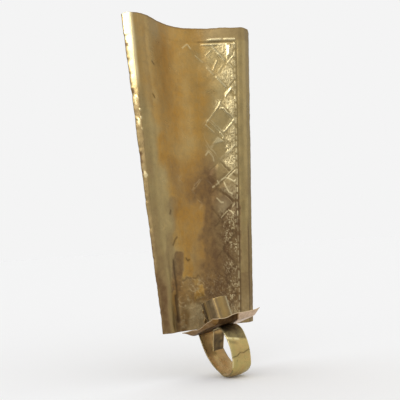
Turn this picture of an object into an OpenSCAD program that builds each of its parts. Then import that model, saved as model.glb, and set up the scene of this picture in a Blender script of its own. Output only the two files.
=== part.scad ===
// Candle wall sconce in sheet brass: a bowed back plate carries a scroll arm, a drip tray and a cup.
// Millimetres. X runs to the viewer's right, Y away from the viewer to the wall, Z up.
// The origin is the middle of the hanger eye behind the plate.

/* [Back plate] */
// Height of the plate
plate_h = 285; // [240:1:330]
// Width between the side bends at the top edge
plate_top_w = 132; // [110:1:160]
// Width between the side bends at the bottom edge
plate_bottom_w = 99; // [84:1:120]
// Thickness of the plate's sheet
plate_t = 0.9; // [0.6:0.1:1.6]
// Width of the plain margin beside the panel
margin_w = 14; // [8:1:20]
// How far the margins swell forward
margin_swell = 2.5; // [0.5:0.1:5]
// Depth of the panel's hollow at the top edge
hollow_depth = 24; // [10:1:34]
// Height of the flat foot that the arm is riveted to
flat_h = 32; // [28:1:60]
// Width of the side flanges at the top edge
flange_top_w = 9; // [5:0.5:14]
// Width of the side flanges at the bottom edge
flange_bottom_w = 2; // [1:0.5:10]
// Angle by which the side flanges bend back
flange_angle = 40; // [15:1:60]

/* [Scroll arm] */
// Width of the strip round the loop
strip_w = 20.5; // [14:0.5:26]
// Width of the strip at its inner end
strip_end_w = 12; // [8:0.5:14]
// Thickness of the strip
strip_t = 1.2; // [0.8:0.1:2]
// Height of the tab behind the plate
tab_h = 22; // [19:1:28]
// Place of the arm to the right of the plate's middle
arm_x = -4; // [-10:1:10]
// Turn of the arm in the plane of the plate, right side up
arm_roll = 5; // [-6:1:8]
// Backward lean of the cup from the plate
cup_lean = 18; // [10:1:24]
// Radius of the bend under the plate's bottom edge
neck_r = 6; // [4:0.5:10]
// Turn of that bend
neck_turn = 21; // [12:1:30]
// Straight length below that bend
neck_leg = 12; // [6:0.5:18]
// Radius of the strip down the back of the loop
back_r = 43; // [36:1:50]
// Turn of the strip down the back of the loop
back_turn = 46; // [38:1:52]
// Radius under the loop
toe_r = 13; // [11:0.5:16]
// Turn under the loop
toe_turn = 103; // [96:1:110]
// Radius up the front of the loop
front_r = 35; // [28:1:40]
// Turn up the front of the loop
front_turn = 47; // [40:1:54]
// Radius over the top of the loop
crown_r = 10; // [8:0.5:12]
// Radius where the inner end turns down
curl_r = 5; // [3.5:0.5:7]
// Turn of the inner end
curl_turn = 56; // [40:1:70]
// Straight length of the inner end
curl_leg = 17; // [8:0.5:19]

/* [Drip tray] */
// Thickness of the tray's sheet
tray_t = 0.8; // [0.5:0.1:1.4]
// Width of the tray between its side edges
tray_w = 52; // [40:1:70]
// Reach of the tray in front of the cup's middle
tray_front = 26; // [19:1:34]
// Extra reach of the back corners to each side
corner_pull = 2; // [0:0.5:5]
// Height of the rim over the tray's floor
rim_h = 4.2; // [2:0.1:8]
// Extra height of the corners
corner_lift = 0.8; // [0:0.1:3]
// Width of the turned-up lip round the floor
lip_w = 6; // [3:0.5:7]
// Clearance between the tray and the plate
tray_gap = 0.6; // [0.3:0.1:3]

/* [Candle cup] */
// Diameter of the candle that the cup takes
candle_d = 22; // [18:0.5:24]
// Thickness of the cup's wall
cup_wall = 0.8; // [0.5:0.1:1.4]
// Height of the cup
cup_h = 24; // [16:1:34]
// Width of the open seam
seam_gap = 2.4; // [0.5:0.1:4]
// Direction of the seam, from the right, seen from above
seam_turn = 170; // [0:5:355]

/* [Rivets] */
// Diameter of the rivet shanks
rivet_d = 3; // [2:0.1:4]
// Diameter of the rivet heads
head_d = 6; // [5:0.1:8]
// Height of the rivet heads
head_h = 1; // [0.6:0.1:1.8]
// Width of the tray rivet's head, sunk flush under the candle
sunk_d = 5; // [4.4:0.1:6]
// Diameter of the washers under the peened ends
burr_d = 6; // [5.6:0.1:8]
// Thickness of those washers
burr_t = 0.8; // [0.5:0.1:1.2]
// Radial clearance of a shank in its holes
hole_clear = 0.05; // [0.02:0.01:0.2]
// Height of the lower arm rivet over the plate's bottom edge
arm_rivet_z = 6; // [5:0.5:8]
// Spacing of the two arm rivets
arm_rivet_step = 9; // [8.5:0.5:10]

/* [Hanger] */
// Drop of the eye below the plate's top edge
eye_drop = 45; // [30:1:80]
// Mean diameter of the ring
ring_d = 22; // [16:1:30]
// Thickness of the ring's wire
ring_wire = 2.4; // [1.6:0.1:3.2]
// Width of the strap along its eye
strap_w = 7; // [5:0.5:9]
// Height of the strap
strap_h = 24; // [18:1:34]
// Thickness of the strap
strap_t = 0.9; // [0.6:0.1:1.4]
// Clearance of the wire in the eye
eye_clear = 0.3; // [0.2:0.05:0.6]
// Solder between the strap and the plate
solder_gap = 0.02; // [0.01:0.01:0.1]

/* [Hidden] */
$fn = 64;

// Steps across and up the curved sheets
panel_steps = 20;
margin_steps = 6;
plate_rows = 10;
arc_steps = 10;
lip_steps = 8;
// Share of a round arch, against a plain dip, in the section of the panel
arch_share = 0.6;
// Flat of the cup's seat beyond its washer
seat_edge = 1;
// Edge of a peened end beyond its shank
peen_edge = 0.75;
// Width of a head's crown as a share of the head
crown_share = 0.7;
// Extra length by which a cut passes the faces it goes through
cut = 1;

// Plate: half widths and depth at a height over its bottom edge
function at_height(bottom, top, z) = bottom + (top - bottom) * z / plate_h;
function bend_x(z) = at_height(plate_bottom_w, plate_top_w, z) / 2;
function panel_x(z) = bend_x(z) - margin_w;
function flange_w(z) = at_height(flange_bottom_w, flange_top_w, z);
function hollow(z) = hollow_depth * max(0, z - flat_h) / (plate_h - flat_h);
function panel_dip(s) = arch_share * (1 - s * s) + (1 - arch_share) * pow(cos(90 * s), 2);

// One half of the plate's front, from the middle to the flange's edge, at one height
function half_section(z) = concat(
  [for (i = [0:panel_steps / 2]) let (s = 2 * i / panel_steps)
    [s * panel_x(z), hollow(z) * panel_dip(s), z]],
  [for (i = [1:margin_steps]) let (s = i / margin_steps)
    [panel_x(z) + s * margin_w, -margin_swell * sin(180 * s), z]],
  [[bend_x(z) + flange_w(z) * cos(flange_angle), flange_w(z) * sin(flange_angle), z]]);
function section(z) = let (half = half_section(z), n = len(half)) concat(
  [for (i = [n - 1:-1:1]) [-half[i][0], half[i][1], z]], half);
plate_heights = concat([0], [for (i = [0:plate_rows]) flat_h + (plate_h - flat_h) * i / plate_rows]);
plate_front = [for (z = plate_heights) section(z)];

// Strip: a walk along its centre line as [forward, up, heading], from the top of the tab
loop_turn = neck_turn + back_turn + toe_turn + front_turn;
crown_turn = 270 + cup_lean - loop_turn;
seat_l = burr_d + seat_edge;
function arc(r, turn) = [r * turn * PI / 180, turn];
legs = [[tab_h, 0], arc(neck_r, neck_turn), [neck_leg, 0], arc(back_r, back_turn), arc(toe_r, toe_turn),
  arc(front_r, front_turn), arc(crown_r, crown_turn), [seat_l / 2, 0], [seat_l / 2, 0],
  arc(curl_r, curl_turn), [curl_leg, 0]];
// Count of legs walked up to the taper, and up to the middle of the cup's seat
taper_steps = 6;
seat_steps = 8;
// A leg is walked along the chords of its arc
function chord(leg, n) = leg[1] == 0 ? leg[0] / n : leg[0] / leg[1] * 360 / PI * sin(leg[1] / n / 2);
function step_on(p, leg, n) = let (h = p[2] + leg[1] / n / 2, d = chord(leg, n))
  [p[0] + d * cos(h), p[1] + d * sin(h), p[2] + leg[1] / n];
function walk_leg(p, leg, n, i = 0) = i == n ? [] :
  let (q = step_on(p, leg, n)) concat([q], walk_leg(q, leg, n, i + 1));
function leg_steps(leg) = leg[1] == 0 ? 1 : arc_steps;
function walk(p, i, last) = i == last ? [] :
  let (part = walk_leg(p, legs[i], leg_steps(legs[i])))
  concat(part, walk(part[len(part) - 1], i + 1, last));
strip_start = [-plate_t - strip_t / 2, tab_h, -90];
strip_line = concat([strip_start], walk(strip_start, 0, len(legs)));
full_width_line = concat([strip_start], walk(strip_start, 0, taper_steps));
seat_line = walk(strip_start, 0, seat_steps);
seat = seat_line[len(seat_line) - 1];

// The strip narrows from the crown to its inner end
taper_from = len(full_width_line) - 1;
function strip_width(i) = i <= taper_from ? strip_w :
  strip_w + (strip_end_w - strip_w) * (i - taper_from) / (len(strip_line) - 1 - taper_from);
function strip_side(i, side) = let (p = strip_line[i], w = strip_width(i) / 2, d = side * strip_t / 2)
  [for (x = [-w, w]) [x, -p[0] + d * sin(p[2]), p[1] + d * cos(p[2])]];
strip_outer = [for (i = [0:len(strip_line) - 1]) strip_side(i, -1)];
strip_inner = [for (i = [0:len(strip_line) - 1]) strip_side(i, 1)];

// Cup and tray: sizes round the middle of the cup's seat on the strip
cup_r = candle_d / 2;
cup_outer_r = cup_r + cup_wall;
rim_top = rim_h + corner_lift + tray_t;
seat_to_plate = seat[0] - strip_t / 2 * sin(cup_lean);
tray_back = (seat_to_plate - tray_gap - rim_top * sin(cup_lean)) / cos(cup_lean);
function rise(d, reach) = pow(max(0, (abs(d) - reach + lip_w) / lip_w), 2);
function lip(reach) = [for (i = [0:lip_steps]) reach - lip_w + lip_w * i / lip_steps];
function reversed(list) = [for (i = [len(list) - 1:-1:0]) list[i]];
tray_xs = concat(-reversed(lip(tray_w / 2)), lip(tray_w / 2));
tray_ys = concat(-reversed(lip(tray_front)), lip(tray_back));
function tray_point(x, y) =
  let (a = rise(x, tray_w / 2), b = rise(y, y < 0 ? tray_front : tray_back), back = y > 0 ? 1 : 0)
  [x + sign(x) * corner_pull * a * b * back, y, rim_h * (a + b - a * b) + corner_lift * a * b];
tray_under = [for (y = tray_ys) [for (x = tray_xs) tray_point(x, y)]];

// Rivets: a hole, the peened end and the two stacks that they hold
hole_r = rivet_d / 2 + hole_clear;
tail_d = rivet_d + 2 * peen_edge;
arm_stack = plate_t + strip_t;
tray_stack = tray_t + strip_t;

// Hanger: the wire bows inside the eye, so the eye is wider than the wire by half the bow and a clearance
wire_bow = ring_d / 2 - sqrt(pow(ring_d / 2, 2) - pow(strap_w / 2, 2));
eye_r = ring_wire / 2 + wire_bow / 2 + eye_clear;
eye_stand = strap_t + eye_r + solder_gap;
back_slope = atan(hollow_depth / (plate_h - flat_h));
eye_z = plate_h - eye_drop;
eye_y = hollow(eye_z) + plate_t + eye_stand / cos(back_slope);

// A closed sheet between two grids of points, facing each other point by point
function points_of(grid) = [for (row = grid) each row];
function face_pairs(rows, cols) = [for (r = [0:rows - 2], c = [0:cols - 2]) r * cols + c];
function rim_loop(rows, cols) = concat(
  [for (c = [0:cols - 2]) c],
  [for (r = [0:rows - 2]) r * cols + cols - 1],
  [for (c = [cols - 1:-1:1]) (rows - 1) * cols + c],
  [for (r = [rows - 1:-1:1]) r * cols]);
module sheet(near, far) {
  rows = len(near);
  cols = len(near[0]);
  count = rows * cols;
  loop = rim_loop(rows, cols);
  near_faces = [for (a = face_pairs(rows, cols))
    each [[a, a + cols, a + 1], [a + 1, a + cols, a + cols + 1]]];
  far_faces = [for (f = near_faces) [f[0] + count, f[2] + count, f[1] + count]];
  edge_faces = [for (i = [0:len(loop) - 1]) let (a = loop[i], b = loop[(i + 1) % len(loop)])
    each [[a, b, a + count], [b, b + count, a + count]]];
  polyhedron(concat(points_of(near), points_of(far)), concat(near_faces, far_faces, edge_faces));
}
function moved(grid, step) = [for (row = grid) [for (p = row) p + step]];

// Places: the plate from the eye, the arm from the plate and the cup's seat from the arm
module at_plate() translate([0, -eye_y, -eye_z]) children();
module at_arm() at_plate() translate([arm_x, 0, 0]) rotate([0, -arm_roll, 0]) children();
module at_seat() at_arm() translate([0, -seat[0], seat[1]]) rotate([-cup_lean, 0, 0])
  translate([0, 0, strip_t / 2]) children();
module at_arm_rivets() at_arm() for (i = [0, 1]) translate([0, 0, arm_rivet_z + i * arm_rivet_step])
  rotate([90, 0, 0]) children();

// A rivet through a stack under a raised or a sunk head, peened over a washer
module shank(stack) {
  translate([0, 0, -stack - burr_t]) cylinder(d = rivet_d, h = stack + burr_t);
  translate([0, 0, -stack - burr_t - head_h / 2]) cylinder(d1 = rivet_d, d2 = tail_d, h = head_h / 2);
}
module rivet(stack) {
  cylinder(d = head_d, h = head_h / 2);
  translate([0, 0, head_h / 2]) cylinder(d1 = head_d, d2 = head_d * crown_share, h = head_h / 2);
  shank(stack);
}
module sunk_rivet(stack) {
  translate([0, 0, -tray_t]) cylinder(d1 = rivet_d, d2 = sunk_d, h = tray_t);
  shank(stack);
}
module burr(stack) translate([0, 0, -stack - burr_t]) difference() {
  cylinder(d = burr_d, h = burr_t);
  translate([0, 0, -cut]) cylinder(r = hole_r, h = burr_t + 2 * cut);
}
module rivet_hole(stack) translate([0, 0, -stack - cut]) cylinder(r = hole_r, h = stack + 2 * cut);
module sunk_hole() {
  rivet_hole(tray_t);
  translate([0, 0, -tray_t]) cylinder(r1 = hole_r, r2 = sunk_d / 2 + hole_clear, h = tray_t);
  cylinder(r = sunk_d / 2 + hole_clear, h = cut);
}

module back_plate() {
  color("darkgoldenrod") difference() {
    at_plate() sheet(plate_front, moved(plate_front, [0, plate_t, 0]));
    at_arm_rivets() rivet_hole(arm_stack);
  }
}

module scroll_arm() {
  color("goldenrod") difference() {
    at_arm() sheet(strip_outer, strip_inner);
    at_arm_rivets() rivet_hole(arm_stack);
    at_seat() rivet_hole(tray_stack);
  }
}

module arm_rivets() {
  color("peru") at_arm_rivets() rivet(arm_stack);
}

module arm_burrs() {
  color("peru") at_arm_rivets() burr(arm_stack);
}

module drip_tray() {
  color("sienna") at_seat() difference() {
    sheet(tray_under, moved(tray_under, [0, 0, tray_t]));
    translate([0, 0, tray_t]) sunk_hole();
  }
}

module tray_rivet() {
  color("peru") at_seat() translate([0, 0, tray_t]) sunk_rivet(tray_stack);
}

module tray_burr() {
  color("peru") at_seat() translate([0, 0, tray_t]) burr(tray_stack);
}

module candle_cup() {
  color("tan") at_seat() translate([0, 0, tray_t]) difference() {
    cylinder(r = cup_outer_r, h = cup_h);
    translate([0, 0, -cut]) cylinder(r = cup_r, h = cup_h + 2 * cut);
    rotate([0, 0, seam_turn]) translate([0, -seam_gap / 2, -cut])
      cube([cup_outer_r + cut, seam_gap, cup_h + 2 * cut]);
  }
}

module hanger_strap() {
  color("olive") rotate([-back_slope, 0, 0]) difference() {
    union() {
      translate([-strap_w / 2, -eye_r - strap_t, -strap_h / 2]) cube([strap_w, strap_t, strap_h]);
      translate([-strap_w / 2, 0, 0]) rotate([0, 90, 0]) cylinder(r = eye_r + strap_t, h = strap_w);
    }
    translate([-strap_w / 2 - cut, 0, 0]) rotate([0, 90, 0]) cylinder(r = eye_r, h = strap_w + 2 * cut);
  }
}

module hanging_ring() {
  color("gold") translate([0, 0, wire_bow / 2 - ring_d / 2]) rotate([90, 0, 0]) rotate_extrude()
    translate([ring_d / 2, 0]) circle(d = ring_wire);
}

back_plate();
scroll_arm();
arm_rivets();
arm_burrs();
drip_tray();
tray_rivet();
tray_burr();
candle_cup();
hanger_strap();
hanging_ring();
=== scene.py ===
"""Looks of a candle wall sconce in old sheet brass, laid over its CAD frame.

Lengths are millimetres inside the shape functions and metres in the meshes.
Shapes are worked out in the plate's frame: X to the viewer's right, Y towards the wall,
Z up from the plate's bottom edge; to_row() moves them to the part's own frame.
"""

import bmesh
import bpy
import numpy as np
from mathutils import Matrix, Vector


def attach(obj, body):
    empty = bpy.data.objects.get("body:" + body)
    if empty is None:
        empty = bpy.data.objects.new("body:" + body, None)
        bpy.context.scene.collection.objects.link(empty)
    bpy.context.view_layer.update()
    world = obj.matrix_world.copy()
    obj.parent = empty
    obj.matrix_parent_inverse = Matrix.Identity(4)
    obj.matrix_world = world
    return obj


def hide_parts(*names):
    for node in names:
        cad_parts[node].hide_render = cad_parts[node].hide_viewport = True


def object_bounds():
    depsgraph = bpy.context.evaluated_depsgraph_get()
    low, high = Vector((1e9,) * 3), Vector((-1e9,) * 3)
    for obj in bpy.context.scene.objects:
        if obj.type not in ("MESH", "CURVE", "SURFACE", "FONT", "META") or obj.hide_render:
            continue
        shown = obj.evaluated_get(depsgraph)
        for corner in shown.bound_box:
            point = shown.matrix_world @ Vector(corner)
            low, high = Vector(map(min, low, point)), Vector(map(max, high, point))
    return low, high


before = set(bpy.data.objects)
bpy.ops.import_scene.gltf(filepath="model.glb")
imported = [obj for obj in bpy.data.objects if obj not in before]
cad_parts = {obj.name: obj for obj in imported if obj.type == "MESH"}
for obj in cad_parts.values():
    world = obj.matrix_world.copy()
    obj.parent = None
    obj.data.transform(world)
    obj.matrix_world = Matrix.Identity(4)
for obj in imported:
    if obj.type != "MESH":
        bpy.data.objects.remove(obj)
cad_box = [list(corner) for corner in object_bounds()]

MM = 0.001
# The hanger's eye, where the part's own frame starts, in the plate's frame
EYE = np.array([0.0, 23.3492, 240.0])

# Back plate
PLATE_H = 285.0
PLATE_T = 0.9
PLATE_FOOT_W = 99.0
PLATE_TOP_W = 132.0
MARGIN_W = 14.0
MARGIN_SWELL = 2.5
HOLLOW = 24.0
FLAT_H = 32.0
FLANGE_FOOT_W = 2.0
FLANGE_TOP_W = 9.0
FLANGE_ANGLE = np.radians(43.5)
FOLD_R = 1.6
CORNER_R = 6.0
CORNER_EASE = 1.2
PLATE_EDGE_R = 0.25

# Scroll arm: legs of the strip as length or radius, turn in degrees or 0, steps, share of the taper
STRIP_W = 20.5
STRIP_END_W = 12.0
STRIP_T = 1.2
STRIP_TOP = 22.0
STRIP_EDGE_R = 0.45
ARM_X = -4.0
ARM_ROLL = np.radians(5.0)
CUP_LEAN = np.radians(18.0)
SEAT = np.array([0.0, -23.5022, 1.73614])
STRIP_LEGS = [
    (22.0, 0, 22, 0.0), (6.0, 21, 14, 0.0), (12.0, 0, 12, 0.0), (43.0, 46, 40, 0.0),
    (13.0, 103, 60, 0.0), (35.0, 47, 40, 0.0), (10.0, 71, 40, 0.435), (7.0, 0, 7, 0.087),
    (5.0, 56, 24, 0.435), (17.0, 0, 17, 0.043),
]

# Drip tray, candle cup and rivets
TRAY_T = 0.8
TRAY_HALF = 26.0
TRAY_FRONT = 26.0
TRAY_BACK = 21.98
TRAY_EDGE_R = 0.22
CORNER_PULL = 2.0
RIM_H = 4.2
CORNER_LIFT = 0.8
LIP_W = 6.0
CUP_R = 11.0
CUP_WALL = 0.8
CUP_H = 24.0
CUP_EDGE_R = 0.2
SEAM_GAP = 2.4
SEAM_TURN = np.radians(170.0)
ARM_RIVETS_Z = (6.0, 15.0)
ARM_STACK = PLATE_T + STRIP_T
TRAY_STACK = TRAY_T + STRIP_T
SHANK_R = 1.5
HEAD_R = 3.0
TAIL_R = 2.2
TAIL_H = 0.55
WASHER_BORE_R = 1.55
WASHER_R = 3.0
WASHER_T = 0.8

# Hanger, in the part's own frame
BACK_SLOPE = np.arctan(HOLLOW / (PLATE_H - FLAT_H))
EYE_R = 1.78584
EYE_ARC = np.radians(142)
STRAP_T = 0.9
STRAP_W = 7.0
STRAP_H = 24.0
STRAP_EDGE_R = 0.3
STRAP_FOOT_Z = 5.2
STRAP_BEND_Z = (2.0, 4.8)
RING_R = 11.0
WIRE_R = 1.2
# Bow of the wire within the width of the strap
WIRE_BOW = 0.571673
RING_DROP = RING_R - WIRE_BOW / 2


# Curves and noise

# Random numbers each way before a noise repeats
LATTICE = 64


def smooth(t):
    """Smoothstep: 3t^2 - 2t^3 with t held between 0 and 1."""
    t = np.clip(t, 0.0, 1.0)
    return t * t * (3.0 - 2.0 * t)


def rise(v, start, width):
    """Smoothstep up from 0 at a start to 1 after a width."""
    return smooth((v - start) / width)


def fall(v, end, width):
    """Smoothstep down from 1 to 0 over the width before an end."""
    return smooth((end - v) / width)


def bell(d, width):
    """Bell curve of a distance: e to the minus square of d over the width."""
    return np.exp(-((d / width) ** 2))


def most(*shares):
    """The highest of several values at each point."""
    return np.max(np.broadcast_arrays(*shares), axis=0)


def running(steps):
    """Running sum of steps, from 0."""
    return np.concatenate([[0], np.cumsum(steps)])


def patch_noise(x, y, cell, seed):
    """Smooth random values from -1 to 1: numbers on a square lattice, joined by smoothsteps."""
    table = np.random.default_rng(seed).uniform(-1.0, 1.0, (LATTICE, LATTICE))
    gx, gy = x / cell, y / cell
    ix, iy = np.floor(gx).astype(int), np.floor(gy).astype(int)
    fx, fy = smooth(gx - ix), smooth(gy - iy)
    at = [[table[(ix + i) % LATTICE, (iy + j) % LATTICE] for j in (0, 1)] for i in (0, 1)]
    low = at[0][0] * (1 - fx) + at[1][0] * fx
    high = at[0][1] * (1 - fx) + at[1][1] * fx
    return low * (1 - fy) + high * fy


def nearest_punch(x, y, cell, seed):
    """Offsets to the nearest of points strewn one to a cell, and that point's own random number."""
    rng = np.random.default_rng(seed)
    shift_x, shift_y, number = (rng.uniform(0.0, 1.0, (LATTICE, LATTICE)) for _ in range(3))
    ix, iy = np.floor(x / cell).astype(int), np.floor(y / cell).astype(int)
    best = np.full(np.shape(x), 1e9)
    found = [np.zeros(np.shape(x)) for _ in range(3)]
    for i in (-1, 0, 1):
        for j in (-1, 0, 1):
            a, b = (ix + i) % LATTICE, (iy + j) % LATTICE
            dx = x - (ix + i + 0.1 + 0.8 * shift_x[a, b]) * cell
            dy = y - (iy + j + 0.1 + 0.8 * shift_y[a, b]) * cell
            closer = np.hypot(dx, dy) < best
            best = np.where(closer, np.hypot(dx, dy), best)
            found = [np.where(closer, new, old) for new, old in zip((dx, dy, number[a, b]), found)]
    return found


def line_distance(x, y, start, end):
    """Distance of each point from a straight line between two corners."""
    along = np.array(end) - np.array(start)
    share = ((x - start[0]) * along[0] + (y - start[1]) * along[1]) / (along @ along)
    share = np.clip(share, 0, 1)
    return np.hypot(x - start[0] - share * along[0], y - start[1] - share * along[1])


def path_distance(x, y, corners):
    """Distance of each point from the nearest leg of a path through several corners."""
    return np.min([line_distance(x, y, a, b) for a, b in zip(corners, corners[1:])], axis=0)


# Solids


def grid_faces(rows, cols):
    """Quads between neighbouring points of a grid."""
    i = np.arange(rows * cols).reshape(rows, cols)
    return np.stack([i[:-1, :-1], i[:-1, 1:], i[1:, 1:], i[1:, :-1]], -1).reshape(-1, 4)


def tube_faces(rows, cols):
    """Quads round a row of equal loops, one row of quads a loop, the last loop joined to the first."""
    i = np.arange(rows * cols).reshape(rows, cols)
    j = np.roll(i, -1, axis=1)
    return np.stack([i, j, np.roll(j, -1, axis=0), np.roll(i, -1, axis=0)], -1)


def border(rows, cols):
    """Indices of a grid's border, once round."""
    i = np.arange(rows * cols).reshape(rows, cols)
    return np.concatenate([i[0, :-1], i[:-1, -1], i[-1, :0:-1], i[:0:-1, 0]])


def sheet(near, far, round_by):
    """Closed sheet between two grids: the far one may have every second or fourth point of the near one.
    A third loop of points stands outside the border, half way through, and rounds the cut edge."""
    rows, cols = near.shape[:2]
    far_rows, far_cols = far.shape[:2]
    flat, count = near.reshape(-1, 3), rows * cols
    rim, far_rim = border(rows, cols), border(far_rows, far_cols) + count
    r, c = np.divmod(rim, cols)
    inside = np.clip(r, 1, rows - 2) * cols + np.clip(c, 1, cols - 2)
    out = flat[rim] - flat[inside]
    out /= np.linalg.norm(out, axis=1, keepdims=True)
    step = len(rim) // len(far_rim)
    half = (far.reshape(-1, 3)[far_rim[0] - count] - flat[rim[0]]) / 2
    edge = flat[rim] + half + out * round_by
    verts = np.concatenate([flat, far.reshape(-1, 3), edge])
    e = count + far_rows * far_cols + np.arange(len(rim))
    next_rim, next_e, next_far = (np.roll(loop, -1) for loop in (rim, e, far_rim))
    faces = grid_faces(rows, cols)[:, ::-1].tolist()
    faces += (grid_faces(far_rows, far_cols) + count).tolist()
    faces += np.stack([rim, next_rim, next_e, e], -1).tolist()
    if step == 1:
        faces += np.stack([e, next_e, next_far, far_rim], -1).tolist()
    else:
        for k in range(step):
            own = far_rim if k < step // 2 else next_far
            faces += np.stack([e[k::step], next_e[k::step], own], -1).tolist()
        faces += np.stack([e[step // 2::step], next_far, far_rim], -1).tolist()
    return verts, faces


def sheet_mark(near, far, rim):
    """One number from 0 to 1 for each point of a sheet: its near side, its far side and its rim."""
    return np.clip(np.concatenate([np.ravel(part) for part in (near, far, rim)]), 0, 1)


def strip_section(flat_points, round_points):
    """A flat loop with rounded edges: places across it, over its edge and through it, from -1 to 1."""
    share = np.linspace(-1, 1, flat_points)
    turn = np.linspace(0, np.pi, round_points + 2)[1:-1]
    across = np.concatenate([share, 1 + 0 * turn, share[::-1], -1 + 0 * turn])
    over = np.concatenate([0 * share, np.sin(turn), 0 * share, -np.sin(turn)])
    depth = np.concatenate([-1 + 0 * share, -np.cos(turn), 1 + 0 * share, np.cos(turn)])
    return across[None], over[None], depth[None]


def swept(loops):
    """Closed tube through a row of equal loops of points, with a cap of one face at each end."""
    rows, cols = loops.shape[:2]
    first = np.arange(cols)
    last = first + (rows - 1) * cols
    faces = tube_faces(rows, cols)[:-1].reshape(-1, 4).tolist()
    return loops.reshape(-1, 3), faces + [first[::-1].tolist(), last.tolist()]


def ring_of(loops):
    """Closed ring through a row of equal loops of points, the last joined to the first."""
    return loops.reshape(-1, 3), tube_faces(*loops.shape[:2]).reshape(-1, 4).tolist()


def lathed(profile, steps=48):
    """Solid of revolution: radii and heights turned about Z, with a point at each end."""
    turn = np.linspace(0, 2 * np.pi, steps, endpoint=False)
    radius, height = profile[1:-1, 0, None], profile[1:-1, 1, None]
    body = np.stack([radius * np.cos(turn), radius * np.sin(turn), height + 0 * turn], -1)
    first = np.arange(steps)
    last = first + (len(body) - 1) * steps
    low = 0 * first + len(body) * steps
    faces = tube_faces(len(body), steps)[:-1].reshape(-1, 4).tolist()
    faces += np.stack([np.roll(first, -1), first, low], -1).tolist()
    faces += np.stack([last, np.roll(last, -1), low + 1], -1).tolist()
    ends = np.array([[0, 0, profile[0, 1]], [0, 0, profile[-1, 1]]])
    return np.concatenate([body.reshape(-1, 3), ends]), faces


def joined(solids):
    """Several solids as one list of points and one of faces."""
    verts, faces, count = [], [], 0
    for points, own in solids:
        faces += [[i + count for i in face] for face in own]
        verts.append(points)
        count += len(points)
    return np.concatenate(verts), faces


# Places


def to_row(points):
    """From the plate's frame to the part's frame."""
    return points - EYE


def at_arm(points):
    """From the arm's frame, turned in the plate's plane about its foot, to the part's frame."""
    c, s = np.cos(ARM_ROLL), np.sin(ARM_ROLL)
    turn = np.array([[c, 0, -s], [0, 1, 0], [s, 0, c]])
    return to_row(points @ turn.T + np.array([ARM_X, 0, 0]))


def at_seat(points):
    """From the cup's seat on the strip, leaning back, to the part's frame."""
    c, s = np.cos(CUP_LEAN), np.sin(CUP_LEAN)
    turn = np.array([[1, 0, 0], [0, c, s], [0, -s, c]])
    return at_arm((points + np.array([0, 0, STRIP_T / 2])) @ turn.T + SEAT)


# The pieces that the soft boxes light; the floor takes the even light of the room
LIT = bpy.data.collections.new("lit_pieces")


def put_piece(name, shape, material, body, nodes, marks=None, sharp=55.0):
    """A mesh piece in the part's frame that rides on a body and stands for its CAD nodes.
    marks holds one number a point for each named attribute that the material reads."""
    verts, faces = shape
    mesh = bpy.data.meshes.new(name)
    mesh.from_pydata((verts * MM).tolist(), [], faces)
    solid = bmesh.new()
    solid.from_mesh(mesh)
    bmesh.ops.recalc_face_normals(solid, faces=solid.faces)
    solid.to_mesh(mesh)
    solid.free()
    for key, values in (marks or {}).items():
        layer = mesh.attributes.new(key, "FLOAT", "POINT")
        layer.data.foreach_set("value", np.ascontiguousarray(values, np.float32))
    mesh.shade_smooth()
    mesh.set_sharp_from_angle(angle=np.radians(sharp))
    mesh.materials.append(material)
    piece = bpy.data.objects.new(name, mesh)
    bpy.context.scene.collection.objects.link(piece)
    LIT.objects.link(piece)
    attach(piece, body)
    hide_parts(*nodes)


# Back plate

PLATE_ROWS = 433
# Columns across a flange, a margin, and the left and right halves of the panel
FLANGE_COLS, MARGIN_COLS, LEFT_COLS, RIGHT_COLS = 8, 12, 40, 120
# The back of the sheet has one point for so many of the front
BACK_STEP = 4
# Heights where the chased work changes: its top with a ridge above and a ledge below it, the tops of the
# large curls, of the leaves and of the small curls at the foot, and the end of the orange streak
PATTERN_TOP = 271.0
RIDGE_Z = 273.6
LEDGE_Z = 268.6
CURL_TOP = 182.0
LEAF_TOP = 156.0
FOOT_TOP = 112.0
STREAK_FOOT = 47.5
# From bead to bead
BEAD_PITCH = 7.4
# Half width of the panel at the foot, and how much more it is at the top, along its curve
PANEL_FOOT_HALF = PLATE_FOOT_W / 2 - MARGIN_W
PANEL_GROWTH = 25.0

# Net of plain straps between raised lozenges: the share of the panel's half width where their heights are
# given, their distance, their rise over a half width at the foot and at the top, and half their width
NET_SHARE = 0.84
NET_UP = 28.5
NET_STEEP_LOW, NET_STEEP_HIGH = 40.0, 65.0
STRAP_HALF = 1.1


def strap_heights(below, drawn, above):
    """Heights of drawn straps, with evenly spaced ones below and above them."""
    lower = drawn[0] - NET_UP * np.arange(below, 0, -1)
    return np.concatenate([lower, drawn, drawn[-1] + NET_UP * np.arange(1, above + 1)])


# Falling and rising straps, and the place in each list of the two that cross at that share near the top
FALLING_Z = strap_heights(8, (115.0, 143.0, 170.0, 200.0, 224.0, 251.0), 2)
RISING_Z = strap_heights(5, (111.0, 143.0, 165.0, 189.0, 222.0, 251.0), 6)
FALLING_MEETS, RISING_MEETS = 13, 10
# Plain raised facets: corners as shares and heights, turning left; height; rise to the right and upwards
FACETS = [
    (((0.83, 269), (0.82, 253), (0.88, 258), (0.91, 269)), 0.9, 0.42, -0.03),
    (((0.58, 178), (0.46, 170), (0.72, 173)), 0.5, 0.07, -0.05),
]
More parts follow.
